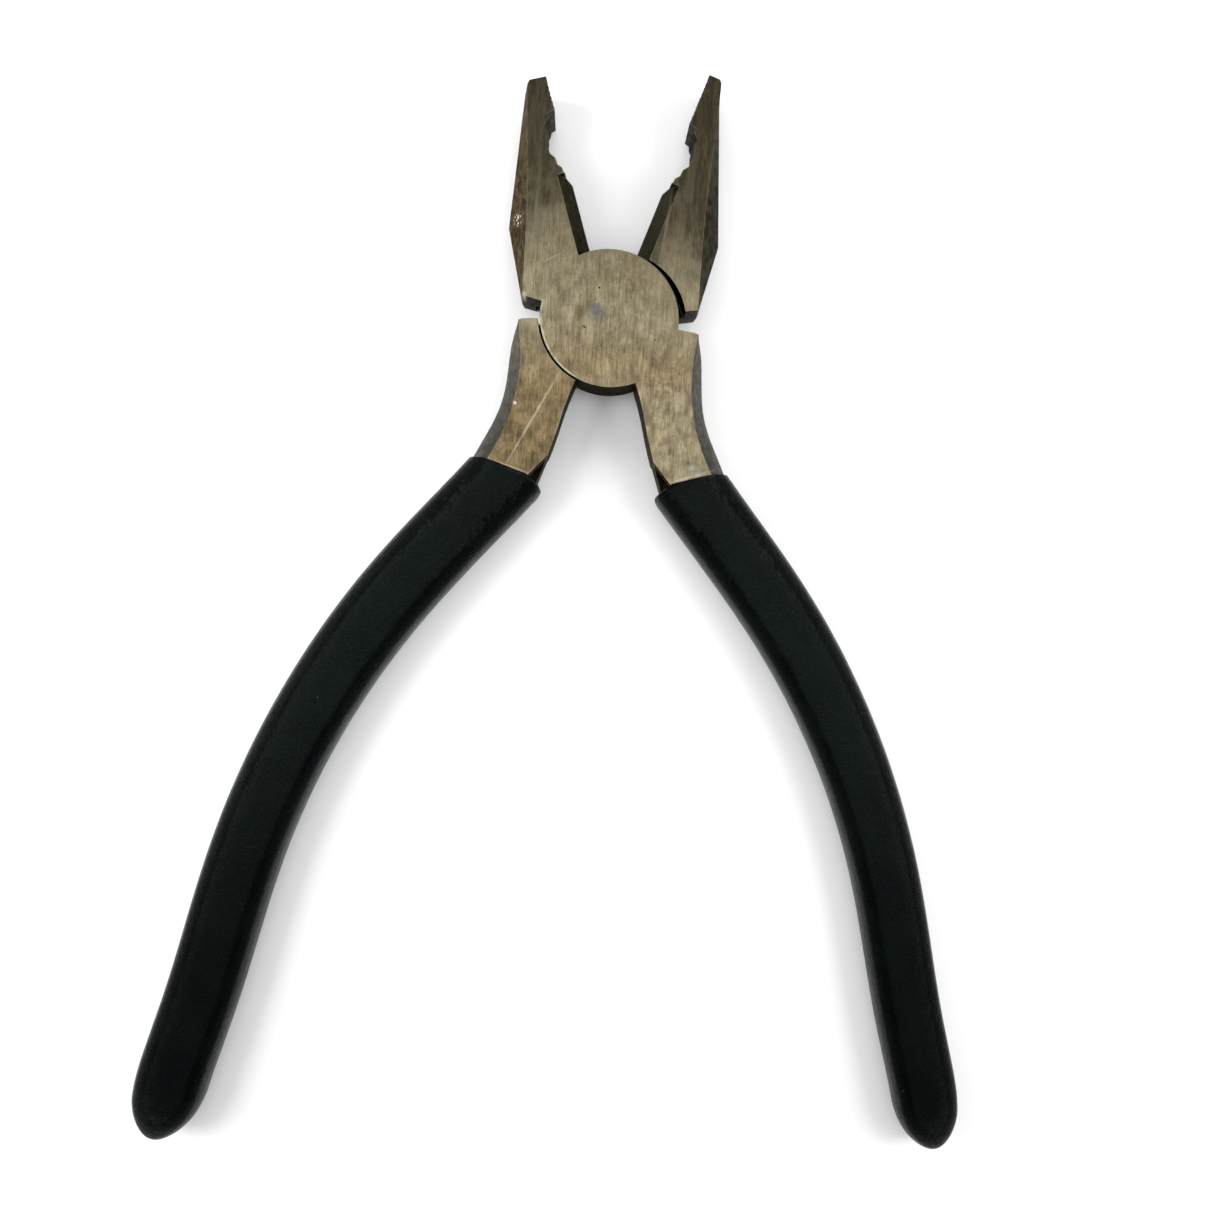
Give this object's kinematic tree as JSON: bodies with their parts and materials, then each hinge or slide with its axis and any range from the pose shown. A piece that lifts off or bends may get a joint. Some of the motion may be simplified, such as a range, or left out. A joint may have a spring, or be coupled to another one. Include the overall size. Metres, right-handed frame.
{
  "type": "lineman pliers",
  "caption": "Combination pliers with a round lap joint, serrated nose, toothed pipe grip, side cutter and dipped black vinyl grips on bowed handles.",
  "frame": {"origin": "on the pivot axis, at the flat underside of the head", "axes": "+Y from the pivot towards the jaws, along the tool's centre line; +Z along the pivot axis, up through the head; +X to the right half's jaw"},
  "size_m": [0.1416, 0.1871, 0.0095],
  "materials": {
    "forged_steel": "ground and brushed faces, dark forged sides",
    "rivet_steel": "ground flush",
    "grip_vinyl": "dipped vinyl, fine matte grain"
  },
  "bodies": {
    "bottom_body": {"bottom_half": "forged_steel", "bottom_half_grip": "grip_vinyl"},
    "top_body": {"top_half": "forged_steel", "pivot_rivet": "rivet_steel", "top_half_grip": "grip_vinyl"}
  },
  "joints": [
    {"name": "pivot", "type": "hinge", "parent": "bottom_body", "child": "top_body", "pos_m": [0, 0, 0], "axis": [0, 0, 1], "range_deg": [-36.4, 13]}
  ]
}
